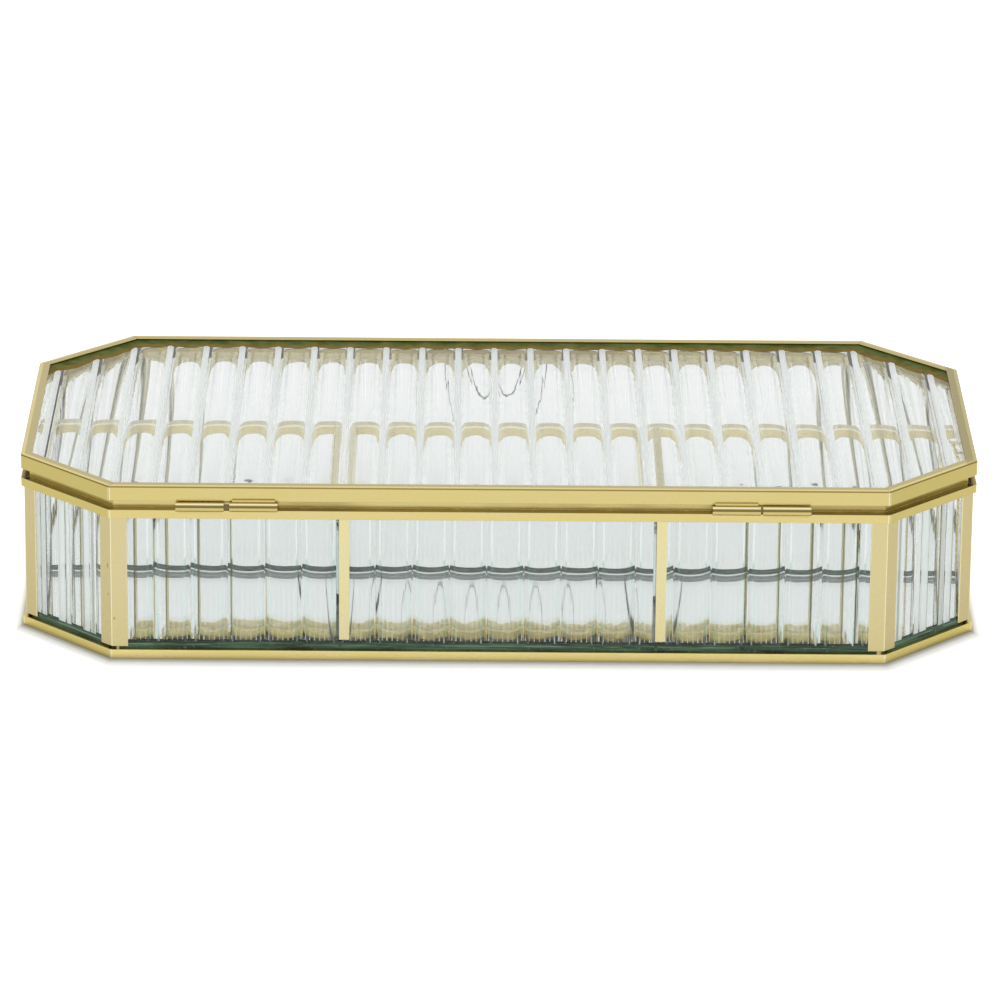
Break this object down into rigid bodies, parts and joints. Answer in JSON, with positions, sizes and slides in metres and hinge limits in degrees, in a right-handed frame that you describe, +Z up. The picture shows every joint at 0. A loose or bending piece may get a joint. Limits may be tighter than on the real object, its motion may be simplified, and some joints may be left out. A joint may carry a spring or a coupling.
{
  "type": "jewelry box",
  "caption": "Low eight-sided box of fluted glass in a soldered brass frame, with a hinged lid on a stay chain, a mirror floor, glass dividers and a wire loop at the front to lift the lid by.",
  "frame": {"origin": "on the surface the box stands on, under the middle of the frame", "axes": "+X along the box's length, -Y towards the hinges at the back, +Z up"},
  "size_m": [0.254, 0.1309, 0.0484],
  "materials": {
    "brass": "satin gold-coloured brass strip, soldered at the corners",
    "fine_brass": "bright drawn brass tube, wire and fine chain",
    "steel_wire": "bare drawn steel wire, dulled grey",
    "fluted_glass": "clear pressed glass, flat outside and hollow-fluted inside, faint green tint",
    "clear_glass": "clear flat glass with green edges",
    "mirror": "back-silvered glass"
  },
  "bodies": {
    "base": {"top_rail_back": "brass", "top_rail_back_right": "brass", "top_rail_right": "brass", "top_rail_front_right": "brass", "top_rail_front": "brass", "top_rail_front_left": "brass", "top_rail_left": "brass", "top_rail_back_left": "brass", "bottom_rail_back": "brass", "bottom_rail_back_right": "brass", "bottom_rail_right": "brass", "bottom_rail_front_right": "brass", "bottom_rail_front": "brass", "bottom_rail_front_left": "brass", "bottom_rail_left": "brass", "bottom_rail_back_left": "brass", "post_back_right": "brass", "post_right_back": "brass", "post_right_front": "brass", "post_front_right": "brass", "post_front_left": "brass", "post_left_front": "brass", "post_left_back": "brass", "post_back_left": "brass", "mid_post_left": "brass", "mid_post_right": "brass", "pane_back_left": "fluted_glass", "pane_back_middle": "fluted_glass", "pane_back_right": "fluted_glass", "pane_front": "fluted_glass", "pane_left": "fluted_glass", "pane_right": "fluted_glass", "pane_corner_back_right": "fluted_glass", "pane_corner_front_right": "fluted_glass", "pane_corner_front_left": "fluted_glass", "pane_corner_back_left": "fluted_glass", "mirror_floor": "mirror", "divider_long": "clear_glass", "divider_short_left": "clear_glass", "divider_short_right": "clear_glass", "divider_cap_long": "brass", "divider_cap_short_left": "brass", "divider_cap_short_right": "brass", "base_knuckles": "fine_brass", "hinge_pins": "fine_brass", "box_chain_anchor": "fine_brass"},
    "lid": {"lid_glass": "fluted_glass", "lid_rail_back": "brass", "lid_rail_back_right": "brass", "lid_rail_right": "brass", "lid_rail_front_right": "brass", "lid_rail_front": "brass", "lid_rail_front_left": "brass", "lid_rail_left": "brass", "lid_rail_back_left": "brass", "lid_knuckles": "fine_brass", "lid_chain_anchor": "fine_brass", "lid_pull": "steel_wire"},
    "chain_upper": {"chain_upper": "fine_brass"},
    "chain_lower": {"chain_lower": "fine_brass"}
  },
  "joints": [
    {"name": "lid_hinge", "type": "hinge", "parent": "base", "child": "lid", "pos_m": [0, -0.06345, 0.04303], "axis": [1, 0, 0], "range_deg": [0, 100]},
    {"name": "chain_upper_swing", "type": "hinge", "parent": "lid", "child": "chain_upper", "pos_m": [0.1212, -0.0175, 0.0436], "axis": [1, 0, 0], "range_deg": [-60, 0]},
    {"name": "chain_lower_swing", "type": "hinge", "parent": "base", "child": "chain_lower", "pos_m": [0.1212, -0.0205, 0.0426], "axis": [0, 0.9118, 0.4106], "range_deg": [0, 185]}
  ],
  "couplings": [
    {"joint": "chain_upper_swing", "follows": "lid_hinge", "ratio": -0.51511},
    {"joint": "chain_lower_swing", "follows": "lid_hinge", "ratio": 1.8}
  ]
}
